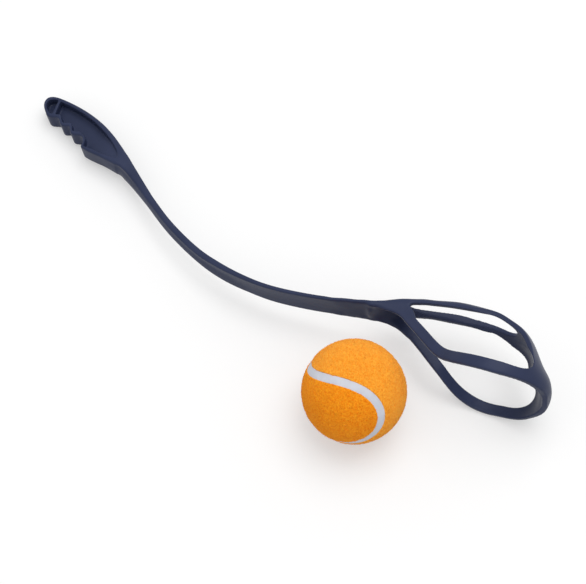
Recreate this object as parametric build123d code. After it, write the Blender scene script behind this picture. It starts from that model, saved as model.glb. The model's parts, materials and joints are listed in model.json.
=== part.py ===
from build123d import *
import math
import os

# Dog ball thrower: one moulded launcher lying on its side, and a ball beside it.
# Millimetres. The launcher is drawn flat, in its own frame: x runs from the grip to
# the nose, y to the back of the throw, z across the mirror plane, and the origin is
# the middle of the basket. It is then laid down on the floor.

# Ball
ball_d = 65.0
felt_t = 2.6
core_t = 3.2
seam_w = 4.9
seam_depth = 0.5
seam_share = 0.2
seam_turns = (40.0, 64.72, 25.77)
seam_points = 24
seam_runs = 4
run_sections = 10
seam_fit = 0.03
cut_over = 2.0
ball_x = 0.0
ball_y = 0.0

# Basket
# It holds the ball, so its places are shares of the ball.
# The outer skin: x, centre y, half width, half height, then squareness and lean
skin_shares = [
    (-1.41538, 0.00923, 0.02462, 0.15538, 14.0, 0.0),
    (-1.29231, 0.07077, 0.05385, 0.15692, 9.0, 0.0),
    (-1.13846, 0.08769, 0.15231, 0.16154, 6.5, 0.03),
    (-1.01538, 0.07692, 0.24462, 0.16769, 5.5, 0.06),
    (-0.86154, 0.08769, 0.31692, 0.17846, 5.0, 0.09),
    (-0.67692, 0.08308, 0.42154, 0.2, 4.3, 0.09),
    (-0.52308, 0.07692, 0.48923, 0.23692, 3.5, 0.04),
    (-0.4, 0.06923, 0.52769, 0.34154, 2.6, 0.0),
    (-0.26154, 0.04615, 0.56769, 0.45846, 2.3, 0.0),
    (-0.13846, 0.02462, 0.58462, 0.52, 2.1, 0.0),
    (0.0, 0.01538, 0.57385, 0.54154, 2.05, 0.0),
    (0.09231, 0.01385, 0.54154, 0.53385, 2.0, 0.0),
    (0.18462, 0.01538, 0.48154, 0.50923, 2.0, 0.0),
    (0.27692, 0.01846, 0.40462, 0.46462, 2.0, 0.0),
    (0.36923, 0.02769, 0.32615, 0.39538, 2.0, 0.0),
    (0.44615, 0.04923, 0.25846, 0.31077, 2.0, 0.0),
    (0.49846, 0.08, 0.17846, 0.22462, 2.1, 0.0),
    (0.52615, 0.10462, 0.11692, 0.15077, 2.2, 0.0),
    (0.53846, 0.11692, 0.06462, 0.08615, 2.4, 0.0),
]
# The hollow inside it, which runs out into the neck as an open channel
hollow_shares = [
    (-1.36923, -0.14615, 0.12, 0.11231, 5.0, 0.0),
    (-1.29231, -0.09231, 0.16, 0.11385, 5.0, 0.0),
    (-1.13846, -0.02154, 0.23385, 0.11692, 4.5, 0.03),
    (-1.01538, 0.02769, 0.26308, 0.12308, 4.5, 0.06),
    (-0.86154, 0.05692, 0.31077, 0.13385, 4.5, 0.09),
    (-0.67692, 0.08308, 0.37846, 0.15538, 4.2, 0.09),
    (-0.52308, 0.07692, 0.44308, 0.19077, 3.5, 0.04),
    (-0.4, 0.06923, 0.48154, 0.29538, 2.6, 0.0),
    (-0.26154, 0.04615, 0.52154, 0.41231, 2.3, 0.0),
    (-0.13846, 0.02462, 0.53846, 0.47385, 2.1, 0.0),
    (0.0, 0.01538, 0.52769, 0.49538, 2.05, 0.0),
    (0.09231, 0.01385, 0.49385, 0.48615, 2.0, 0.0),
    (0.18462, 0.01538, 0.43077, 0.45846, 2.0, 0.0),
    (0.27692, 0.01846, 0.34923, 0.40615, 2.0, 0.0),
    (0.36923, 0.02154, 0.25846, 0.32308, 2.0, 0.0),
    (0.44615, 0.02462, 0.16923, 0.21231, 2.0, 0.0),
    (0.49231, 0.02769, 0.08615, 0.11385, 2.0, 0.0),
]
# The front edge of the mouth, seen from above
mouth_shares = [
    (-1.50769, -0.13846), (-1.41538, -0.06769), (-1.30769, -0.00615), (-1.21538, 0.03385),
    (-1.12308, 0.04923), (-1.01538, 0.03385), (-0.92308, 0.00462), (-0.8, -0.03846),
    (-0.67692, -0.08462), (-0.56923, -0.12154), (-0.46154, -0.14923), (-0.33846, -0.16615),
    (-0.21538, -0.16308), (-0.10769, -0.14769), (0.01538, -0.11846), (0.13846, -0.07846),
    (0.26154, -0.02154), (0.38462, 0.04), (0.50769, 0.09846), (0.70769, 0.18462),
]
# The back edge of the front straps, seen from above
strap_shares = [
    (-1.09846, 0.17231), (-1.08, 0.15846), (-1.01538, 0.14154), (-0.92308, 0.11077), (-0.8, 0.06923),
    (-0.67692, 0.02462), (-0.56923, -0.01077), (-0.44615, -0.04154), (-0.32308, -0.05231),
    (-0.21538, -0.04615), (-0.10769, -0.02923), (0.0, -0.00308), (0.12308, 0.03692), (0.2, 0.06615),
    (0.26154, 0.10154), (0.30154, 0.14154), (0.31692, 0.18769),
]
# The front edge of the back straps, seen from above
back_shares = [
    (0.31692, 0.18769), (0.30154, 0.24308), (0.25231, 0.30462), (0.16154, 0.36923), (0.03077, 0.43692),
    (-0.09231, 0.48615), (-0.18462, 0.50923), (-0.27692, 0.50769), (-0.35385, 0.49538),
    (-0.43692, 0.47846), (-0.51385, 0.45846), (-0.58923, 0.43231), (-0.66154, 0.40462),
    (-0.73846, 0.37385), (-0.81538, 0.34308), (-0.88462, 0.31231), (-0.95385, 0.27538),
    (-1.01538, 0.24), (-1.06769, 0.20923), (-1.09231, 0.18923), (-1.09846, 0.17231),
]
# The top edge of the back straps, seen from the front
crest_shares = [
    (-1.01538, 0.19385), (-0.76923, 0.19692), (-0.52308, 0.2), (-0.36923, 0.2), (-0.23077, 0.20462),
    (-0.12308, 0.21538), (-0.01538, 0.23692), (0.07692, 0.26462), (0.15385, 0.29538),
    (0.23077, 0.32923), (0.31692, 0.37231),
]
# The slot between the back straps, seen from the front: upper half
slot_shares = [
    (-1.10769, 0.0), (-1.09231, 0.05692), (-1.03846, 0.08462), (-0.95385, 0.10154), (-0.86154, 0.11077),
    (-0.76923, 0.12308), (-0.66154, 0.13538), (-0.55385, 0.14462), (-0.43077, 0.14769),
    (-0.30769, 0.14615), (-0.20769, 0.13385), (-0.13077, 0.10615), (-0.08, 0.05846), (-0.06154, 0.0),
]
slot_near = 9.0
reach = 70.0
skin_points = 20

# Arm
arm_len = 204.0
# Shares of its length, from the neck: x and y of the middle of the section.
# Shares of the height of the neck: width in the plan, height, corner, hollowing
arm_shares = [
    (-1.0, 0.0049, 0.57426, 0.71782, 0.06931, 0.0099),
    (-0.95098, -0.01029, 0.34653, 0.61386, 0.05446, 0.01238),
    (-0.88235, -0.03676, 0.24257, 0.47525, 0.0495, 0.01238),
    (-0.80882, -0.06471, 0.20297, 0.42079, 0.04455, 0.01238),
    (-0.73039, -0.0951, 0.20297, 0.40594, 0.04455, 0.01485),
    (-0.64216, -0.1201, 0.21782, 0.41584, 0.04455, 0.01485),
    (-0.56373, -0.13529, 0.21782, 0.48515, 0.04455, 0.01733),
    (-0.48039, -0.14118, 0.19802, 0.68317, 0.04208, 0.0198),
    (-0.39216, -0.13676, 0.16832, 0.83168, 0.03713, 0.02228),
    (-0.29902, -0.12157, 0.14356, 0.92574, 0.03465, 0.02228),
    (-0.20588, -0.09265, 0.13861, 0.9604, 0.03465, 0.02228),
    (-0.12745, -0.06176, 0.13366, 0.99505, 0.03465, 0.0198),
    (-0.05882, -0.02892, 0.13861, 1.00495, 0.03465, 0.01485),
    (0.0, 0.0, 0.15842, 1.0, 0.03465, 0.0099),
]

# Grip: its outlines are shares of its length, from where it meets the arm
grip_len = 73.6
grip_t = 14.5
grip_web = 2.0
grip_round = 1.4
grip_back_shares = [
    (0.0, 0.0788), (-0.09511, 0.12364), (-0.21739, 0.16984), (-0.35326, 0.20788), (-0.48913, 0.22962),
    (-0.625, 0.23777), (-0.76087, 0.2337), (-0.87636, 0.22147), (-0.95652, 0.19973), (-1.0, 0.16033),
    (-1.0, 0.10598), (-0.96196, 0.05435), (-0.91576, 0.02174),
]
finger_bump_shares = [
    (-0.85326, 0.00136), (-0.69022, -0.01359), (-0.5625, -0.03533),
]
finger_valley_shares = [
    (-0.76902, 0.03261), (-0.625, 0.0163), (-0.49185, -0.01359),
]
grip_front_shares = [
    (-0.39402, -0.10054), (-0.29891, -0.1019), (-0.2038, -0.09239), (-0.09511, -0.08424),
    (0.0, -0.0788),
]
# The recess in each face, between the rim and the rib
pocket_back_shares = [
    (-0.01359, -0.01359), (-0.06793, 0.04076), (-0.13587, 0.08152), (-0.23098, 0.12228),
    (-0.35326, 0.16033), (-0.47554, 0.18614), (-0.625, 0.19837), (-0.76087, 0.19701),
    (-0.86413, 0.18614),
]
pocket_wave_shares = [
    (-0.81522, 0.0462), (-0.7663, 0.06929), (-0.69293, 0.01766), (-0.625, 0.05299), (-0.5625, -0.00272),
    (-0.49185, 0.02446), (-0.41033, -0.06522), (-0.29891, -0.06793), (-0.16304, -0.05435),
    (-0.01359, -0.01359),
]
# Where the floor of the long recess begins to rise, and where it meets the face
floor_turn_shares = (-0.35326, 0.01359)
tip_pocket_shares = [
    (-0.8913, 0.1875), (-0.93614, 0.1712), (-0.96739, 0.13859), (-0.96332, 0.09783), (-0.92935, 0.0625),
    (-0.88315, 0.0394), (-0.84511, 0.03397),
]

# Lying on the floor
heading = -35.83
pitch = 4.43
roll = 4.0
rest_x = 84.4
rest_y = 5.1
rest_z = 34.95


def on_basket(shares):
    """Places on the basket, from shares of the ball."""
    return [(ball_d * x, ball_d * y) for x, y in shares]


def neck():
    """Where the arm meets the basket: x, y and the height there."""
    return ball_d * skin_shares[0][0], ball_d * skin_shares[0][1], 2.0 * ball_d * skin_shares[0][3]


def joint():
    """Where the arm meets the grip: x, y of the middle and the width there."""
    x, y, height = neck()
    width = grip_len * (grip_back_shares[0][1] - grip_front_shares[-1][1])
    return x - arm_len, y + arm_len * arm_shares[0][1], width


def on_grip(shares):
    """Places on the grip, from shares of its length."""
    x, y, width = joint()
    return [(x + grip_len * along, y + grip_len * across) for along, across in shares]


def skin_section(x, cy, half_y, half_z, square, lean):
    """One closed rounded section across the basket."""
    points = []
    for i in range(skin_points):
        a = 2.0 * math.pi * i / skin_points
        c, s = math.cos(a), math.sin(a)
        p = 2.0 / square
        points.append((
            x,
            cy + half_y * math.copysign(abs(c) ** p, c),
            half_z * math.copysign(abs(s) ** p, s) * (1.0 + lean * math.copysign(abs(c) ** p, c)),
        ))
    return Wire([Edge.make_spline([Vector(*q) for q in points], periodic=True)])


def skin_body(rows):
    """A smooth solid through all its sections."""
    return Solid.make_loft([skin_section(*(ball_d * share for share in row[:4]), *row[4:]) for row in rows])


def window_tool():
    """The upper window: what lies between the front strap and the back strap."""
    strap_edge = on_basket(strap_shares)
    back_edge = on_basket(back_shares)
    crest_edge = on_basket(crest_shares)
    edges = [
        Edge.make_spline([Vector(x, y, 0.0) for x, y in strap_edge]),
        Edge.make_spline([Vector(x, y, 0.0) for x, y in back_edge]),
    ]
    over = extrude(Face(Wire(edges)), amount=reach, dir=(0, 0, 1))
    side = Wire([
        Edge.make_spline([Vector(x, -reach, z) for x, z in crest_edge]),
        Edge.make_line((crest_edge[-1][0], -reach, crest_edge[-1][1]), (crest_edge[-1][0], -reach, reach)),
        Edge.make_line((crest_edge[-1][0], -reach, reach), (crest_edge[0][0], -reach, reach)),
        Edge.make_line((crest_edge[0][0], -reach, reach), (crest_edge[0][0], -reach, crest_edge[0][1])),
    ])
    behind = extrude(Face(side), amount=2.0 * reach, dir=(0, 1, 0))
    plan = Wire([
        Edge.make_spline([Vector(x, y, 0.0) for x, y in strap_edge]),
        Edge.make_line((*strap_edge[-1], 0.0), (strap_edge[-1][0], reach, 0.0)),
        Edge.make_line((strap_edge[-1][0], reach, 0.0), (strap_edge[0][0], reach, 0.0)),
        Edge.make_line((strap_edge[0][0], reach, 0.0), (*strap_edge[0], 0.0)),
    ])
    behind = behind & extrude(Face(plan), amount=reach, dir=(0, 0, 1))
    return over + behind


def slot_tool():
    """The narrow slot between the two back straps."""
    slot_edge = on_basket(slot_shares)
    lower = [(x, -z) for x, z in reversed(slot_edge)]
    line = Wire([
        Edge.make_spline([Vector(x, slot_near, z) for x, z in slot_edge]),
        Edge.make_spline([Vector(x, slot_near, z) for x, z in lower]),
    ])
    return extrude(Face(line), amount=reach, dir=(0, 1, 0))


def mouth_tool():
    """Everything in front of the mouth's edge."""
    mouth_edge = on_basket(mouth_shares)
    start, end = mouth_edge[0], mouth_edge[-1]
    line = Wire([
        Edge.make_spline([Vector(x, y, -reach) for x, y in mouth_edge]),
        Edge.make_line((*end, -reach), (end[0], -reach, -reach)),
        Edge.make_line((end[0], -reach, -reach), (start[0], -reach, -reach)),
        Edge.make_line((start[0], -reach, -reach), (*start, -reach)),
    ])
    return extrude(Face(line), amount=2.0 * reach, dir=(0, 0, 1))


def make_basket():
    """Neck, four straps and nose: an egg-shaped skin with its openings cut."""
    basket = skin_body(skin_shares) - skin_body(hollow_shares)
    basket = basket - mouth_tool()
    basket = basket - slot_tool()
    window = window_tool()
    basket = basket - window
    return basket - mirror(window, about=Plane.XY)


def arm_section(x, y, width, height, corner, hollowing, direction):
    """One section of the arm, square to its run, its front face a little hollow."""
    plane = Plane(origin=(x, y, 0.0), x_dir=(-direction[1], direction[0], 0.0), z_dir=direction)
    half_w, half_h = width / 2.0, height / 2.0
    with BuildSketch(plane) as sketch:
        with BuildLine():
            Line((half_w, -half_h), (half_w, half_h))
            Line((half_w, half_h), (-half_w, half_h))
            ThreePointArc((-half_w, half_h), (-half_w + hollowing, 0.0), (-half_w, -half_h))
            Line((-half_w, -half_h), (half_w, -half_h))
        make_face()
        fillet(sketch.vertices(), corner)
    return sketch.sketch.faces()[0]


def make_arm():
    """The curved arm: a loft that turns from a flat bar into a tall blade."""
    neck_x, neck_y, neck_h = neck()
    rows = [
        (neck_x + arm_len * row[0], neck_y + arm_len * row[1], *(neck_h * share for share in row[2:]))
        for row in arm_shares
    ]
    rows[0] = (*joint(), grip_t, grip_round, rows[0][-1])
    spine = Edge.make_spline([Vector(row[0], row[1], 0.0) for row in rows])
    faces = []
    for row in rows:
        near = spine.param_at_point(Vector(row[0], row[1], 0.0))
        tangent = spine.tangent_at(near)
        if row is rows[0] or row is rows[-1]:
            tangent = Vector(1.0, 0.0, 0.0)
        faces.append(arm_section(*row, (tangent.X, tangent.Y, 0.0)))
    return Solid.make_loft([face.outer_wire() for face in faces])


def grip_outline():
    """The outer outline of the grip in plan, closed at the arm by a straight cut."""
    grip_back = on_grip(grip_back_shares)
    grip_front = on_grip(grip_front_shares)
    wave = [grip_back[-1]]
    for bump, valley in zip(on_grip(finger_bump_shares), on_grip(finger_valley_shares)):
        wave += [bump, valley]
    wave.append(grip_front[0])
    edges = [
        Edge.make_spline([Vector(x, y, 0.0) for x, y in grip_back]),
        Edge.make_spline([Vector(x, y, 0.0) for x, y in wave]),
        Edge.make_spline([Vector(x, y, 0.0) for x, y in grip_front]),
        Edge.make_line((*grip_front[-1], 0.0), (*grip_back[0], 0.0)),
    ]
    return Wire(edges)


def main_pocket():
    """The outline of the long recess behind the rib."""
    pocket_back = on_grip(pocket_back_shares)
    pocket_wave = on_grip(pocket_wave_shares)
    return Wire([
        Edge.make_spline([Vector(x, y, 0.0) for x, y in pocket_back]),
        Edge.make_line((*pocket_back[-1], 0.0), (*pocket_wave[0], 0.0)),
        Edge.make_spline([Vector(x, y, 0.0) for x, y in pocket_wave]),
    ])


def small_pocket():
    """The outline of the small recess in the tip."""
    tip_pocket = on_grip(tip_pocket_shares)
    return Wire([
        Edge.make_spline([Vector(x, y, 0.0) for x, y in tip_pocket]),
        Edge.make_line((*tip_pocket[-1], 0.0), (*tip_pocket[0], 0.0)),
    ])


def make_grip():
    """The grip: a flat handle with a web, a rim that waves for the fingers and a rib."""
    body = extrude(Face(grip_outline()), amount=grip_t / 2.0, both=True)
    joint_x = joint()[0]
    rims = body.edges().filter_by(
        lambda edge: abs(edge.center().Z) > grip_web and edge.center().X < joint_x - grip_round
    )
    body = fillet(rims, grip_round)
    depth = (grip_t - grip_web) / 2.0
    turn_from, turn_to = (joint_x + grip_len * share for share in floor_turn_shares)
    rise = Polyline((turn_from, -reach, 0), (turn_to, -reach, 0), (turn_to, -reach, depth), close=True)
    ramp = extrude(Face(Wire(rise.edges())), amount=2.0 * reach, dir=(0, 1, 0))
    pockets = (extrude(Face(main_pocket()), amount=depth) - ramp, extrude(Face(small_pocket()), amount=depth))
    for pocket in pockets:
        pocket = pocket.moved(Location((0, 0, grip_web / 2.0)))
        body = body - pocket - mirror(pocket, about=Plane.XY)
    return body


def place(shape):
    """Lay the launcher down on the floor."""
    turned = shape.rotate(Axis.X, roll).rotate(Axis.Y, -pitch).rotate(Axis.Z, heading)
    return turned.moved(Location((rest_x, rest_y, rest_z)))


def seam_path(radius):
    """The closed line of a tennis ball's seam on a sphere."""
    wide = 1.0 - seam_share
    rise = 2.0 * math.sqrt(wide * seam_share)
    points = []
    for i in range(seam_points):
        a = 2.0 * math.pi * i / seam_points
        points.append(radius * Vector(
            wide * math.cos(a) + seam_share * math.cos(3.0 * a),
            wide * math.sin(a) - seam_share * math.sin(3.0 * a),
            rise * math.sin(2.0 * a),
        ))
    return Edge.make_spline(points, periodic=True)


def place_ball(shape):
    """Turn the ball to show its seam and set it on the floor."""
    turned = shape.rotate(Axis.X, seam_turns[0]).rotate(Axis.Y, seam_turns[1])
    turned = turned.rotate(Axis.Z, seam_turns[2])
    return turned.moved(Location((ball_x, ball_y, ball_d / 2.0)))


def seam_section(path, share, half_angle, low, high):
    """One section across the seam, from a low to a high radius, with radial sides."""
    up = path.position_at(share).normalized()
    side = up.cross(path.tangent_at(share)).normalized()
    left = up * math.cos(half_angle) - side * math.sin(half_angle)
    right = up * math.cos(half_angle) + side * math.sin(half_angle)
    return Wire([
        Edge.make_three_point_arc(low * left, low * up, low * right),
        Edge.make_line(low * right, high * right),
        Edge.make_three_point_arc(high * right, high * up, high * left),
        Edge.make_line(high * left, low * left),
    ])


def seam_lengths(width, low, high):
    """The band along the whole seam, as lengths that meet end to end."""
    core_r = ball_d / 2.0 - felt_t
    path = seam_path(core_r)
    half_angle = width / 2.0 / core_r
    steps = seam_runs * run_sections
    lengths = []
    for run in range(seam_runs):
        marks = [(run * run_sections + i) % steps / steps for i in range(run_sections + 1)]
        lengths.append(Solid.make_loft([seam_section(path, mark, half_angle, low, high) for mark in marks]))
    return lengths


def make_ball():
    """Two rubber cups, two felt panels over them and the cement line in between."""
    outer_r = ball_d / 2.0
    core_r = outer_r - felt_t
    felt = Sphere(outer_r) - Sphere(core_r)
    for cutter in seam_lengths(seam_w, core_r - cut_over, outer_r + cut_over):
        felt = felt - cutter
    panels = felt.solids()
    lengths = seam_lengths(seam_w - 2.0 * seam_fit, core_r + seam_fit, outer_r - seam_depth)
    seam = lengths[0].fuse(*lengths[1:])
    core = Sphere(core_r) - Sphere(core_r - core_t)
    upper = Box(ball_d, ball_d, ball_d, align=(Align.CENTER, Align.CENTER, Align.MIN))
    parts = {"ball_felt_a": panels[0], "ball_felt_b": panels[1], "ball_seam": seam}
    parts.update({"ball_core_a": core & upper, "ball_core_b": core - upper})
    return {name: place_ball(part) for name, part in parts.items()}


def make_launcher():
    """The moulding, lying on the floor."""
    parts = {"basket": make_basket(), "arm": make_arm(), "grip": make_grip()}
    placed = {name: place(part) for name, part in parts.items()}
    low = min(part.bounding_box().min.Z for part in placed.values())
    return {name: part.moved(Location((0, 0, -low))) for name, part in placed.items()}


def main():
    """Write every piece, with the origin at the middle of the footprint."""
    os.makedirs("parts", exist_ok=True)
    parts = {**make_launcher(), **make_ball()}
    boxes = [part.bounding_box() for part in parts.values()]
    mid_x = (min(box.min.X for box in boxes) + max(box.max.X for box in boxes)) / 2.0
    mid_y = (min(box.min.Y for box in boxes) + max(box.max.Y for box in boxes)) / 2.0
    shift = Location((-mid_x, -mid_y, 0))
    print("origin at", mid_x, mid_y)
    for name, part in parts.items():
        export_step(part.moved(shift), f"parts/{name}.step")


main()
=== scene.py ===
"""Looks of a dog ball thrower lying beside its tennis ball.

The launcher is one navy moulding with softly rounded edges. The ball has two felt panels
with loose fibres, over a pale cement seam. Lengths are in metres in the frame of the part,
but FingerWall, Pull and Lean hold millimetres.
"""

from __future__ import annotations

import json
import logging
import math
from dataclasses import dataclass, replace
from enum import Enum

import bpy
import numpy as np
from mathutils import Euler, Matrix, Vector
from mathutils.bvhtree import BVHTree

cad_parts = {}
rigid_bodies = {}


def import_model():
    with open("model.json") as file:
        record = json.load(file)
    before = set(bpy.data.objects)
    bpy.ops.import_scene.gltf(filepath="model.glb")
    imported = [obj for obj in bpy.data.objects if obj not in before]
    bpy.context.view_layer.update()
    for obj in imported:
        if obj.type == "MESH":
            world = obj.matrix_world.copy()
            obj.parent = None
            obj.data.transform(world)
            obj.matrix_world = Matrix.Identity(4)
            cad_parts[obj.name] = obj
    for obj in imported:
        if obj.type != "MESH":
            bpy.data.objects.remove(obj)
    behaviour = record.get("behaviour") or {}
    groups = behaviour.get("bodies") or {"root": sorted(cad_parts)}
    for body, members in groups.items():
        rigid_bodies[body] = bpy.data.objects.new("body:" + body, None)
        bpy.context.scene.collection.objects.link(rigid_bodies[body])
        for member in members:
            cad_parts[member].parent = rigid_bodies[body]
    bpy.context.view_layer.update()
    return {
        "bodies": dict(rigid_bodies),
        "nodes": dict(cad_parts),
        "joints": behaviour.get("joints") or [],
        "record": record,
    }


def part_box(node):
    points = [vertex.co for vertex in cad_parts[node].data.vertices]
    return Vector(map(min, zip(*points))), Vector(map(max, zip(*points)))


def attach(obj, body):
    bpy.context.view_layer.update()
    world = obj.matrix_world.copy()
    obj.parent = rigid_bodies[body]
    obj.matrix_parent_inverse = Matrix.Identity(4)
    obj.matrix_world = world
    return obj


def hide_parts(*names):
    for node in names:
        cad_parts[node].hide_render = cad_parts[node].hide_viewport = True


log = logging.getLogger("ball_thrower")

MM = 0.001
# A Mix node of colours takes them at these two inputs and gives its result at this output
MIX_FIRST = 6
MIX_SECOND = 7
MIX_RESULT = 2
GRAIN_DETAIL = 3.0
MOTTLE_DETAIL = 4.0
NOISE_MIDDLE = 0.5
INWARD = -1.0
# The place of the distance in what a search tree gives for a point
TREE_DISTANCE = 3


class Body(Enum):
    """The rigid bodies that pieces ride on."""

    LAUNCHER = "launcher"
    BALL = "ball"


class Slot(Enum):
    """The material slots of the record."""

    PLASTIC = "navy_plastic"
    FELT = "orange_felt"
    CEMENT = "seam_cement"
    RUBBER = "core_rubber"


def socket(node: bpy.types.Node, name: str | int, value: object) -> None:
    """Set one input of a shader node."""
    node.inputs[name].default_value = value


def add_node(tree: bpy.types.NodeTree, kind: str, **settings: object) -> bpy.types.Node:
    """Add a node to a tree.

    Args:
        tree: The tree that gets the node.
        kind: The node's type name.
        **settings: Properties to set on the node.

    Returns:
        The new node.
    """
    node = tree.nodes.new(kind)
    for name, value in settings.items():
        setattr(node, name, value)
    return node


def new_group(name: str, inputs: dict[str, float], outputs: tuple[str, ...]) -> bpy.types.NodeTree:
    """Make an empty shader node group with float sockets.

    Args:
        name: The group's name.
        inputs: Input names with their usual values.
        outputs: Output names.

    Returns:
        The group, holding its input and output nodes.
    """
    group = bpy.data.node_groups.new(name, "ShaderNodeTree")
    for label, value in inputs.items():
        entry = group.interface.new_socket(label, in_out="INPUT", socket_type="NodeSocketFloat")
        entry.default_value = value
    for label in outputs:
        group.interface.new_socket(label, in_out="OUTPUT", socket_type="NodeSocketFloat")
    add_node(group, "NodeGroupInput")
    add_node(group, "NodeGroupOutput")
    return group


def grain_group() -> bpy.types.NodeTree:
    """Fine grain and a broad mottle, as two masks from 0 to 1.

    Returns:
        The node group.
    """
    name = "surface grain"
    if name in bpy.data.node_groups:
        return bpy.data.node_groups[name]
    usual = {"Grain Scale": 1500.0, "Mottle Scale": 60.0, "Mottle Width": 0.3}
    group = new_group(name, usual, ("Grain", "Mottle"))
    start = group.nodes["Group Input"]
    end = group.nodes["Group Output"]
    place = add_node(group, "ShaderNodeTexCoord")
    fine = add_node(group, "ShaderNodeTexNoise")
    socket(fine, "Detail", GRAIN_DETAIL)
    broad = add_node(group, "ShaderNodeTexNoise")
    socket(broad, "Detail", MOTTLE_DETAIL)
    low = add_node(group, "ShaderNodeMath", operation="SUBTRACT")
    socket(low, 0, NOISE_MIDDLE)
    high = add_node(group, "ShaderNodeMath", operation="ADD")
    socket(high, 0, NOISE_MIDDLE)
    spread = add_node(group, "ShaderNodeMapRange")
    links = group.links
    links.new(place.outputs["Object"], fine.inputs["Vector"])
    links.new(place.outputs["Object"], broad.inputs["Vector"])
    links.new(start.outputs["Grain Scale"], fine.inputs["Scale"])
    links.new(start.outputs["Mottle Scale"], broad.inputs["Scale"])
    links.new(start.outputs["Mottle Width"], low.inputs[1])
    links.new(start.outputs["Mottle Width"], high.inputs[1])
    links.new(broad.outputs["Fac"], spread.inputs["Value"])
    links.new(low.outputs[0], spread.inputs["From Min"])
    links.new(high.outputs[0], spread.inputs["From Max"])
    links.new(fine.outputs["Fac"], end.inputs["Grain"])
    links.new(spread.outputs["Result"], end.inputs["Mottle"])
    return group


@dataclass(frozen=True)
class Finish:
    """A matte finish with grain in its surface and a mottle in its colour."""

    name: str
    slot: Slot
    light: tuple[float, float, float]
    dark: tuple[float, float, float]
    rough: float
    rough_change: float
    grain_scale: float
    grain_depth: float
    mottle_scale: float
    mottle_width: float
    specular: float = 0.5
    sheen: float = 0.0
    sheen_rough: float = 0.5
    sheen_tint: tuple[float, float, float] = (1.0, 1.0, 1.0)
    speckle: float = 0.0

    def material(self) -> bpy.types.Material:
        """Build the material once.

        Returns:
            The material.
        """
        if self.name in bpy.data.materials:
            return bpy.data.materials[self.name]
        mat = bpy.data.materials.new(self.name)
        mat.use_nodes = True
        tree = mat.node_tree
        shader = tree.nodes["Principled BSDF"]
        socket(shader, "Specular IOR Level", self.specular)
        socket(shader, "Sheen Weight", self.sheen)
        socket(shader, "Sheen Roughness", self.sheen_rough)
        socket(shader, "Sheen Tint", (*self.sheen_tint, 1.0))
        grain = add_node(tree, "ShaderNodeGroup", node_tree=grain_group())
        socket(grain, "Grain Scale", self.grain_scale)
        socket(grain, "Mottle Scale", self.mottle_scale)
        socket(grain, "Mottle Width", self.mottle_width)
        blend = add_node(tree, "ShaderNodeMix", data_type="RGBA")
        socket(blend, MIX_FIRST, (*self.dark, 1.0))
        socket(blend, MIX_SECOND, (*self.light, 1.0))
        speck = add_node(tree, "ShaderNodeMath", operation="MULTIPLY_ADD", use_clamp=True)
        socket(speck, 1, self.speckle)
        lift = add_node(tree, "ShaderNodeMath", operation="SUBTRACT", use_clamp=True)
        socket(lift, 1, self.speckle / 2.0)
        bump = add_node(tree, "ShaderNodeBump")
        socket(bump, "Strength", 1.0)
        socket(bump, "Distance", self.grain_depth)
        rough = add_node(tree, "ShaderNodeMapRange")
        socket(rough, "To Min", self.rough - self.rough_change)
        socket(rough, "To Max", self.rough + self.rough_change)
        links = tree.links
        links.new(grain.outputs["Grain"], speck.inputs[0])
        links.new(grain.outputs["Mottle"], speck.inputs[2])
        links.new(speck.outputs[0], lift.inputs[0])
        links.new(lift.outputs[0], blend.inputs["Factor"])
        links.new(blend.outputs[MIX_RESULT], shader.inputs["Base Color"])
        links.new(grain.outputs["Mottle"], rough.inputs["Value"])
        links.new(rough.outputs["Result"], shader.inputs["Roughness"])
        links.new(grain.outputs["Grain"], bump.inputs["Height"])
        links.new(bump.outputs["Normal"], shader.inputs["Normal"])
        return mat


NAVY_PLASTIC = Finish(
    name="navy moulded plastic", slot=Slot.PLASTIC,
    light=(0.028, 0.036, 0.077), dark=(0.020, 0.027, 0.060), rough=0.36, rough_change=0.05,
    grain_scale=2600.0, grain_depth=0.03 * MM, mottle_scale=45.0, mottle_width=0.25, specular=0.12,
)
# The two felt panels are a lit and a shaded copy of one felt: the first holds painted light, the second
# painted shade
PAINTED_LIT_FELT = Finish(
    name="orange wool felt, painted lit side", slot=Slot.FELT,
    light=(1.0, 0.47, 0.05), dark=(0.93, 0.28, 0.01), rough=0.9, rough_change=0.04,
    grain_scale=2200.0, grain_depth=0.6 * MM, mottle_scale=1100.0, mottle_width=0.14, specular=0.08,
    sheen=0.35, sheen_tint=(1.0, 0.62, 0.2), speckle=0.5,
)
# Painted shade: the same felt with a darker base colour, for the darker side of the ball
PAINTED_SHADE_FELT = replace(
    PAINTED_LIT_FELT, name="orange wool felt, painted shaded side",
    light=(1.0, 0.41, 0.018), dark=(0.88, 0.21, 0.002), sheen_tint=(1.0, 0.55, 0.12),
)
PALE_CEMENT = Finish(
    name="pale rubber cement", slot=Slot.CEMENT,
    light=(0.56, 0.57, 0.63), dark=(0.49, 0.51, 0.57), rough=0.7, rough_change=0.08,
    grain_scale=1400.0, grain_depth=0.1 * MM, mottle_scale=160.0, mottle_width=0.2, specular=0.3,
)
BLACK_RUBBER = Finish(
    name="black core rubber", slot=Slot.RUBBER,
    light=(0.03, 0.03, 0.03), dark=(0.02, 0.02, 0.02), rough=0.8, rough_change=0.05,
    grain_scale=1400.0, grain_depth=0.1 * MM, mottle_scale=100.0, mottle_width=0.25, specular=0.3,
)


def dress(obj: bpy.types.Object, finish: Finish) -> None:
    """Give a piece one finish.

    Args:
        obj: The piece.
        finish: Its finish.
    """
    obj.data.materials.clear()
    obj.data.materials.append(finish.material())


def vertex_points(mesh: bpy.types.Mesh) -> np.ndarray:
    """The places of a mesh's vertices.

    Args:
        mesh: The mesh.

    Returns:
        One row of three numbers for each vertex.
    """
    points = np.empty(len(mesh.vertices) * 3)
    mesh.vertices.foreach_get("co", points)
    return points.reshape(-1, 3)


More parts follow.
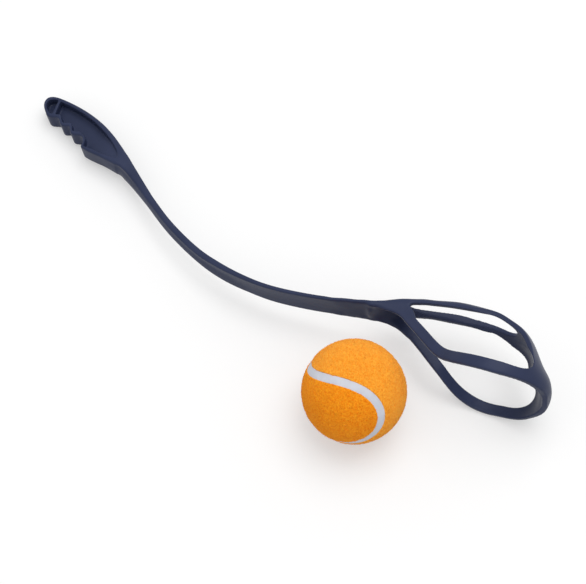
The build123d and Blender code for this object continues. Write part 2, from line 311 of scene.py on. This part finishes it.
def mesh_object(
    name: str, verts: np.ndarray, faces: list | np.ndarray, smooth: bool = True
) -> bpy.types.Object:
    """Make an object from points and faces.

    Args:
        name: The object's name.
        verts: Points, in metres.
        faces: Lists of point numbers.
        smooth: Whether the faces are shaded smooth.

    Returns:
        The object, linked to the scene.
    """
    mesh = bpy.data.meshes.new(name)
    mesh.from_pydata([tuple(v) for v in verts], [], [tuple(int(i) for i in f) for f in faces])
    mesh.update()
    if smooth:
        mesh.polygons.foreach_set("use_smooth", [True] * len(mesh.polygons))
    obj = bpy.data.objects.new(name, mesh)
    bpy.context.scene.collection.objects.link(obj)
    return obj


def bake_modifiers(obj: bpy.types.Object) -> None:
    """Swap a piece's mesh for the result of its modifiers.

    Args:
        obj: The piece.
    """
    graph = bpy.context.evaluated_depsgraph_get()
    result = bpy.data.meshes.new_from_object(obj.evaluated_get(graph))
    obj.modifiers.clear()
    obj.data = result


@dataclass(frozen=True)
class Lie:
    """How the launcher lies, in metres and degrees.

    Its own axes run along the handle, across it and out of its face.
    """

    seat: tuple[float, float, float] = (0.129, -0.09484, 0.03514)
    roll: float = 4.0
    pitch: float = 4.43
    heading: float = -35.83

    def place(self, points: np.ndarray) -> np.ndarray:
        """Move points from the launcher's own axes into the frame.

        Args:
            points: Points from the middle of the basket, in metres.

        Returns:
            The points in the frame.
        """
        angles = [math.radians(angle) for angle in (self.roll, -self.pitch, self.heading)]
        turn = np.array(Euler(angles, "XYZ").to_matrix())
        return points @ turn.T + np.array(self.seat)


@dataclass(frozen=True)
class FingerWall:
    """The bend of the grip's thin wall after its last finger groove, in millimetres."""

    line: tuple[tuple[float, float], ...] = (
        (-333.6, 0.9), (-332.2, 1.62), (-330.1, 2.1), (-327.74, 1.69), (-326.06, 0.09),
        (-325.09, -1.8), (-324.48, -3.7), (-323.9, -5.0),
    )
    half_width: float = 0.9
    half_height: float = 7.1
    bevel: float = 0.7

    def shell(self) -> tuple[np.ndarray, list[list[int]]]:
        """Sweep the wall's section along its line.

        Returns:
            The wall's points in the launcher's own axes, in metres, and its faces.
        """
        wide, tall, cut = self.half_width, self.half_height, self.bevel
        section = [(wide, cut - tall), (wide, tall - cut), (wide - cut, tall), (cut - wide, tall),
                   (-wide, tall - cut), (-wide, cut - tall), (cut - wide, -tall), (wide - cut, -tall)]
        line = np.array(self.line)
        along = np.gradient(line, axis=0)
        along /= np.linalg.norm(along, axis=1)[:, None]
        across = np.stack([-along[:, 1], along[:, 0]], axis=1)
        points = [(*(spot + side * out), up) for spot, side in zip(line, across) for out, up in section]
        size = len(section)
        faces = [list(range(size)), [len(points) - 1 - i for i in range(size)]]
        for start in range(0, len(points) - size, size):
            for i in range(size):
                after = (i + 1) % size
                faces.append([start + i, start + size + i, start + size + after, start + after])
        return np.array(points) * MM, faces


@dataclass(frozen=True)
class Pull:
    """A soft pull on the skin, strongest at one spot, in millimetres."""

    spot: tuple[float, float, float]
    move: tuple[float, float, float]
    reach: float

    def shift(self, points: np.ndarray) -> np.ndarray:
        """How far this pull moves each point.

        Args:
            points: Points in metres.

        Returns:
            The moves in metres.
        """
        far = np.linalg.norm(points - np.array(self.spot) * MM, axis=1) / (self.reach * MM)
        near = np.clip(1.0 - far ** 2, 0.0, 1.0) ** 2
        return near[:, None] * np.array(self.move) * MM


@dataclass(frozen=True)
class Lean:
    """A soft lean of the skin along a line of spots, each with its own move, in millimetres."""

    spots: tuple[tuple[float, float, float], ...]
    moves: tuple[tuple[float, float, float], ...]
    reach: float

    def shift(self, points: np.ndarray) -> np.ndarray:
        """How far this lean moves each point.

        Args:
            points: Points in metres.

        Returns:
            The moves in metres.
        """
        spots = np.array(self.spots) * MM
        moves = np.array(self.moves) * MM
        least = np.full(len(points), self.reach * MM)
        chosen = np.zeros_like(points)
        for number in range(len(spots) - 1):
            start = spots[number]
            along = spots[number + 1] - start
            share = np.clip((points - start) @ along / (along @ along), 0.0, 1.0)[:, None]
            far = np.linalg.norm(points - start - share * along, axis=1)
            closer = far < least
            least[closer] = far[closer]
            chosen[closer] = (moves[number] * (1.0 - share) + moves[number + 1] * share)[closer]
        near = (1.0 - (least / (self.reach * MM)) ** 2) ** 2
        return near[:, None] * chosen


# Both edges of the arm lie a little farther out than its solid's
ARM_LEANS = (
    Lean(
        spots=((-118.0, 84.0, 8.0), (-106.0, 70.0, 9.0), (-89.0, 47.0, 13.0), (-70.0, 20.0, 12.0),
               (-48.0, -3.0, 12.0), (-35.0, -13.0, 13.0), (-20.0, -21.0, 12.0)),
        moves=((0.4, 0.0, 0.0), (-1.3, -1.0, 0.0), (-1.4, -1.2, 0.0), (-0.9, -1.0, 0.0),
               (-0.5, -1.0, 0.0), (-0.3, -0.7, 0.0), (0.0, 0.0, 0.0)),
        reach=8.5,
    ),
    Lean(
        spots=((-112.0, 88.0, 20.0), (-99.0, 68.0, 19.0), (-86.0, 46.0, 19.0), (-66.0, 18.0, 20.0),
               (-44.0, -4.0, 25.0), (-31.0, -13.0, 27.0), (-16.0, -22.0, 30.0)),
        moves=((0.0, 0.0, 0.0), (0.8, 0.6, 0.0), (0.6, 0.5, 0.0), (0.3, 0.4, 0.0),
               (0.3, 0.5, 0.0), (0.1, 0.2, 0.0), (0.0, 0.0, 0.0)),
        reach=8.5,
    ),
)
# Two on the basket's lower rim, the mouth's end, a window's corner, the slot's tip, then the neck
RIM_PULLS = (
    Pull(spot=(150.0, -112.0, 14.0), move=(0.0, -3.6, 0.0), reach=22.0),
    Pull(spot=(163.0, -113.0, 30.0), move=(0.0, -3.0, 0.0), reach=20.0),
    Pull(spot=(154.0, -94.0, 17.0), move=(2.7, 0.0, 0.0), reach=16.0),
    Pull(spot=(152.0, -74.0, 21.0), move=(2.8, 0.0, 0.0), reach=13.0),
    Pull(spot=(79.0, -43.0, 38.0), move=(4.2, -0.6, 0.0), reach=14.0),
    Pull(spot=(49.0, -41.0, 16.0), move=(0.0, -1.3, -1.4), reach=16.0),
    Pull(spot=(66.0, -48.0, 19.0), move=(0.0, -1.3, -0.8), reach=12.0),
    Pull(spot=(55.0, -39.0, 38.0), move=(0.0, 0.6, 0.6), reach=11.0),
)
# These even out the neck's outline once it is eased
NECK_PULLS = (
    Pull(spot=(36.0, -38.0, 16.0), move=(0.0, -0.6, 0.0), reach=7.0),
    Pull(spot=(53.0, -42.0, 18.0), move=(0.0, -0.5, 0.0), reach=5.0),
    Pull(spot=(67.0, -47.0, 19.0), move=(0.0, 0.8, 0.0), reach=5.0),
    Pull(spot=(77.0, -53.0, 21.0), move=(0.0, -1.2, 0.0), reach=8.0),
    Pull(spot=(40.0, -38.0, 37.0), move=(0.0, 0.6, 0.0), reach=10.0),
    Pull(spot=(80.0, -40.0, 39.0), move=(0.0, 0.8, 0.0), reach=18.0),
)


@dataclass
class Launcher:
    """The navy moulding: grip, arm and basket in one skin with rounded edges."""

    nodes: tuple[str, ...] = ("basket", "arm", "grip")
    lie: Lie = Lie()
    finger_wall: FingerWall = FingerWall()
    weld_gap: float = 0.01 * MM
    voxel: float = 0.4 * MM
    smooth_rounds: int = 18
    smooth_share: float = 0.5
    neck: tuple[float, float, float] = (-0.095, 0.0, 0.0)
    neck_reach: float = 26.0 * MM
    neck_rounds: int = 180

    @staticmethod
    def pull(skin: bpy.types.Object, pulls: tuple[Pull | Lean, ...]) -> None:
        """Draw the skin softly to where the real one lies.

        Args:
            skin: The moulding.
            pulls: The soft moves.
        """
        points = vertex_points(skin.data)
        points += sum(each.shift(points) for each in pulls)
        skin.data.vertices.foreach_set("co", points.ravel())
        skin.data.update()

    def ease_neck(self, skin: bpy.types.Object) -> None:
        """Let the arm flow into the basket: smooth more, the nearer to the neck.

        Args:
            skin: The moulding.
        """
        spot = self.lie.place(np.array([self.neck]))
        far = np.linalg.norm(vertex_points(skin.data) - spot, axis=1) / self.neck_reach
        near = np.clip(1.0 - far ** 2, 0.0, 1.0)
        group = skin.vertex_groups.new(name="neck")
        for i in np.flatnonzero(near):
            group.add([int(i)], float(near[i]), "REPLACE")
        soften = skin.modifiers.new("ease neck", "SMOOTH")
        soften.factor = self.smooth_share
        soften.iterations = self.neck_rounds
        soften.vertex_group = group.name
        bake_modifiers(skin)

    def join(self, frame: dict) -> bpy.types.Object:
        """Put the launcher's solids and the finger wall into one mesh.

        Args:
            frame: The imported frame.

        Returns:
            The mesh's object.
        """
        verts: list[np.ndarray] = []
        faces: list[list[int]] = []
        count = 0
        for name in self.nodes:
            mesh = frame["nodes"][name].data
            verts.append(vertex_points(mesh))
            faces += [[count + i for i in poly.vertices] for poly in mesh.polygons]
            count += len(mesh.vertices)
        wall, wall_faces = self.finger_wall.shell()
        verts.append(self.lie.place(wall))
        faces += [[count + i for i in face] for face in wall_faces]
        return mesh_object("launcher_moulding", np.concatenate(verts), faces)

    def build(self, frame: dict) -> None:
        """Join the solids, remesh them, soften the edges and dress the moulding.

        Args:
            frame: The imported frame.
        """
        skin = self.join(frame)
        weld = skin.modifiers.new("weld", "WELD")
        weld.merge_threshold = self.weld_gap
        remesh = skin.modifiers.new("remesh", "REMESH")
        remesh.mode = "VOXEL"
        remesh.voxel_size = self.voxel
        remesh.use_smooth_shade = True
        soften = skin.modifiers.new("soften", "SMOOTH")
        soften.factor = self.smooth_share
        soften.iterations = self.smooth_rounds
        bake_modifiers(skin)
        self.pull(skin, (*RIM_PULLS, *ARM_LEANS))
        self.ease_neck(skin)
        self.pull(skin, NECK_PULLS)
        skin.data.polygons.foreach_set("use_smooth", [True] * len(skin.data.polygons))
        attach(skin, Body.LAUNCHER.value)
        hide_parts(*self.nodes)
        dress(skin, NAVY_PLASTIC)
        log.info("launcher moulding: %d faces", len(skin.data.polygons))


@dataclass(frozen=True)
class FeltSkin:
    """The ball's outer surface, shared out between its two panels."""

    points: np.ndarray
    ups: np.ndarray
    faces: np.ndarray
    owner: np.ndarray
    from_seam: np.ndarray


@dataclass
class TennisBall:
    """Two felt panels with loose fibres, a cement seam and the rubber core."""

    radius: float = 32.5 * MM
    felt_depth: float = 2.5 * MM
    edge_drop: float = 0.5 * MM
    edge_width: float = 0.7 * MM
    ripple: float = 0.16 * MM
    levels: int = 7
    fibres: int = 22000
    fibre_length: float = 1.2 * MM
    fibre_width: float = 0.05 * MM
    fibre_lift: float = 0.35
    fibre_curl: float = 0.35
    fibre_corners: int = 5
    length_shares: tuple[float, float] = (0.4, 1.3)
    lift_shares: tuple[float, float] = (0.1, 1.0)
    bend_along: float = 0.5
    bend_lift: float = 0.7
    floor_gap: float = 0.1 * MM
    seed: int = 7

    def __post_init__(self) -> None:
        """Start the random draws."""
        self.random = np.random.default_rng(self.seed)

    @staticmethod
    def tree_of(obj: bpy.types.Object) -> BVHTree:
        """A search tree over a node's faces.

        Args:
            obj: The node.

        Returns:
            The tree.
        """
        corners = [vertex.co for vertex in obj.data.vertices]
        return BVHTree.FromPolygons(corners, [tuple(face.vertices) for face in obj.data.polygons])

    def centre(self) -> Vector:
        """The middle of the ball, from its panels' boxes.

        Returns:
            The middle.
        """
        low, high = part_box("ball_felt_a")
        other_low, other_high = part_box("ball_felt_b")
        least = [min(a, b) for a, b in zip(low, other_low)]
        most = [max(a, b) for a, b in zip(high, other_high)]
        return Vector([(a + b) / 2.0 for a, b in zip(least, most)])

    def sphere(self) -> tuple[np.ndarray, np.ndarray]:
        """Directions and faces of an even ball of triangles.

        Returns:
            Unit directions, and three point numbers for each face.
        """
        bpy.ops.mesh.primitive_ico_sphere_add(subdivisions=self.levels, radius=1.0)
        obj = bpy.context.object
        mesh = obj.data
        points = vertex_points(mesh)
        corners = np.empty(len(mesh.loops), dtype=np.int64)
        mesh.loops.foreach_get("vertex_index", corners)
        bpy.data.objects.remove(obj)
        bpy.data.meshes.remove(mesh)
        points /= np.linalg.norm(points, axis=1)[:, None]
        return points, corners.reshape(-1, 3)

    def panel(self, name: str, points: np.ndarray, faces: np.ndarray) -> bpy.types.Object:
        """One felt panel, as thick as its felt.

        Args:
            name: The piece's name.
            points: All the ball's surface points.
            faces: The faces of this panel.

        Returns:
            The panel.
        """
        used, index = np.unique(faces, return_inverse=True)
        obj = mesh_object(name, points[used], index.reshape(-1, 3))
        thick = obj.modifiers.new("felt depth", "SOLIDIFY")
        thick.thickness = self.felt_depth
        thick.offset = INWARD
        bake_modifiers(obj)
        return obj

    def fuzz(self, name: str, roots: np.ndarray, ups: np.ndarray) -> bpy.types.Object:
        """Loose fibres that lie on the felt and curl off it.

        Args:
            name: The piece's name.
            roots: Where the fibres start.
            ups: The surface's outward directions there.

        Returns:
            All the fibres as one mesh.
        """
        count = len(roots)
        side = np.cross(ups, self.random.normal(size=(count, 3)))
        side /= np.linalg.norm(side, axis=1)[:, None]
        along = np.cross(side, ups)
        length = self.fibre_length * self.random.uniform(*self.length_shares, count)[:, None]
        lift = self.fibre_lift * self.random.uniform(*self.lift_shares, count)[:, None]
        curl = self.random.normal(scale=self.fibre_curl, size=(count, 1))
        width = self.fibre_width
        middle = roots + along * length * self.bend_along + ups * length * lift * self.bend_lift
        tip = roots + along * length + ups * length * lift + side * length * curl
        verts = np.stack([roots - side * width, roots + side * width, middle - side * width,
                          middle + side * width, tip], axis=1).reshape(-1, 3)
        verts[:, 2] = np.maximum(verts[:, 2], self.floor_gap)
        base = np.arange(count)[:, None] * self.fibre_corners
        quads = base + np.array([0, 1, 3, 2])
        tips = base + np.array([2, 3, 4])
        return mesh_object(name, verts, list(quads) + list(tips))

    def felt_skin(self, nodes: dict) -> FeltSkin:
        """Raise the felt from the seam and share it out between the panels.

        Args:
            nodes: The frame's nodes by name.

        Returns:
            The felt's surface.
        """
        middle = np.array(self.centre())
        directions, faces = self.sphere()
        seam = self.tree_of(nodes["ball_seam"])
        sides = [self.tree_of(nodes[f"ball_felt_{letter}"]) for letter in "ab"]
        points = middle + directions * (self.radius - self.edge_drop)
        from_seam = np.array([seam.find_nearest(Vector(p))[TREE_DISTANCE] for p in points])
        from_side = np.array([
            [tree.find_nearest(Vector(p))[TREE_DISTANCE] for tree in sides] for p in points
        ])
        owner = np.argmin(from_side, axis=1)
        rise = np.clip(from_seam / self.edge_width, 0.0, 1.0)
        rise = np.sqrt(1.0 - (1.0 - rise) ** 2)
        ripple = self.random.normal(scale=self.ripple, size=len(points))
        height = -self.edge_drop * (1.0 - rise) + ripple * rise - self.ripple
        surface = middle + directions * (self.radius + height)[:, None]
        surface[:, 2] = np.maximum(surface[:, 2], 0.0)
        return FeltSkin(surface, directions, faces, owner, from_seam)

    def cover(self, skin: FeltSkin, number: int, letter: str, finish: Finish) -> None:
        """Make one panel with its loose fibres and dress both.

        Args:
            skin: The felt's surface.
            number: The panel's number in the surface's owners.
            letter: The panel's letter.
            finish: Its finish.
        """
        off_seam = skin.from_seam > self.ripple
        own_faces = (skin.owner[skin.faces] == number).all(axis=1) & off_seam[skin.faces].any(axis=1)
        panel = self.panel(f"felt_panel_{letter}", skin.points, skin.faces[own_faces])
        inside = np.flatnonzero((skin.owner == number) & off_seam)
        chosen = self.random.choice(inside, self.fibres)
        fuzz = self.fuzz(f"felt_fibres_{letter}", skin.points[chosen], skin.ups[chosen])
        for obj in (panel, fuzz):
            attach(obj, Body.BALL.value)
            dress(obj, finish)
        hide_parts(f"ball_felt_{letter}")
        log.info("felt panel %s: %d faces", letter, len(panel.data.polygons))

    def build(self, frame: dict) -> None:
        """Build and dress every piece of the ball.

        Args:
            frame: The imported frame.
        """
        nodes = frame["nodes"]
        skin = self.felt_skin(nodes)
        # The first panel gets the felt with painted light, the second the felt with painted shade
        for number, (letter, finish) in enumerate((("a", PAINTED_LIT_FELT), ("b", PAINTED_SHADE_FELT))):
            self.cover(skin, number, letter, finish)
        dress(nodes["ball_seam"], PALE_CEMENT)
        for letter in "ab":
            dress(nodes[f"ball_core_{letter}"], BLACK_RUBBER)


@dataclass
class Studio:
    """The pale floor, the soft lights and the camera."""

    eye: tuple[float, float, float] = (0.0071, -0.50764, 0.9294)
    tilt: float = 28.0
    field_px: float = 1600.0
    picture_px: float = 586.0
    sensor_mm: float = 36.0
    clip_near: float = 0.01
    clip_far: float = 20.0
    floor_size: float = 6.0
    floor_rough: float = 0.9
    floor_specular: float = 0.1
    floor_tone: tuple[float, float, float] = (0.5, 0.5, 0.5)
    bounce_tone: tuple[float, float, float] = (0.62, 0.62, 0.62)
    floor_glow: float = 0.39
    sky_strength: float = 0.86
    key_place: tuple[float, float, float] = (0.35, 0.3, 1.85)
    key_size: float = 1.4
    key_power: float = 18.0

    def floor(self) -> None:
        """A plain pale floor, whiter to the eye than in the light it throws back."""
        half = self.floor_size / 2.0
        corners = np.array([(-half, -half, 0.0), (half, -half, 0.0), (half, half, 0.0), (-half, half, 0.0)])
        obj = mesh_object("floor", corners, [[0, 1, 2, 3]], smooth=False)
        mat = bpy.data.materials.new("pale floor")
        mat.use_nodes = True
        tree = mat.node_tree
        shader = tree.nodes["Principled BSDF"]
        socket(shader, "Roughness", self.floor_rough)
        socket(shader, "Specular IOR Level", self.floor_specular)
        socket(shader, "Emission Color", (1.0, 1.0, 1.0, 1.0))
        path = add_node(tree, "ShaderNodeLightPath")
        mirror = add_node(tree, "ShaderNodeMath", operation="ADD", use_clamp=True)
        seen = add_node(tree, "ShaderNodeMath", operation="ADD", use_clamp=True)
        tone = add_node(tree, "ShaderNodeMix", data_type="RGBA")
        socket(tone, MIX_FIRST, (*self.bounce_tone, 1.0))
        socket(tone, MIX_SECOND, (*self.floor_tone, 1.0))
        glow = add_node(tree, "ShaderNodeMath", operation="MULTIPLY")
        socket(glow, 1, self.floor_glow)
        links = tree.links
        links.new(path.outputs["Is Glossy Ray"], mirror.inputs[0])
        links.new(path.outputs["Is Transmission Ray"], mirror.inputs[1])
        links.new(path.outputs["Is Camera Ray"], seen.inputs[0])
        links.new(mirror.outputs[0], seen.inputs[1])
        links.new(seen.outputs[0], tone.inputs["Factor"])
        links.new(seen.outputs[0], glow.inputs[0])
        links.new(tone.outputs[MIX_RESULT], shader.inputs["Base Color"])
        links.new(glow.outputs[0], shader.inputs["Emission Strength"])
        obj.data.materials.append(mat)

    def lamp(self, name: str, place: tuple[float, float, float], size: float, power: float) -> None:
        """Hang one soft square lamp that faces the middle of the floor.

        Args:
            name: The lamp's name.
            place: Where it hangs.
            size: Its side.
            power: Its power in watts.
        """
        data = bpy.data.lights.new(name, "AREA")
        data.shape = "SQUARE"
        data.size = size
        data.energy = power
        obj = bpy.data.objects.new(name, data)
        obj.location = place
        obj.rotation_euler = (-Vector(place)).to_track_quat("-Z", "Y").to_euler()
        bpy.context.scene.collection.objects.link(obj)

    def sky(self, strength: float) -> None:
        """Fill the room with even light.

        Args:
            strength: How strong it is.
        """
        world = bpy.data.worlds.new("room")
        world.use_nodes = True
        back = world.node_tree.nodes["Background"]
        socket(back, "Color", (1.0, 1.0, 1.0, 1.0))
        socket(back, "Strength", strength)
        bpy.context.scene.world = world

    def camera(self) -> None:
        """Stand where the photograph was taken from."""
        data = bpy.data.cameras.new("camera")
        data.sensor_width = self.sensor_mm
        data.lens = self.sensor_mm * self.field_px / self.picture_px
        data.clip_start = self.clip_near
        data.clip_end = self.clip_far
        obj = bpy.data.objects.new("camera", data)
        obj.location = self.eye
        obj.rotation_euler = (math.radians(self.tilt), 0.0, 0.0)
        bpy.context.scene.collection.objects.link(obj)
        bpy.context.scene.camera = obj

    def build(self) -> None:
        """Set the whole studio."""
        self.floor()
        self.sky(self.sky_strength)
        self.lamp("key", self.key_place, self.key_size, self.key_power)
        self.camera()
        bpy.context.scene.view_settings.view_transform = "Standard"


def main() -> None:
    """Build every piece in order and report it."""
    logging.basicConfig(level=logging.INFO, format="%(name)s %(message)s")
    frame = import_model()
    Launcher().build(frame)
    TennisBall().build(frame)
    Studio().build()


if __name__ == "__main__":
    main()
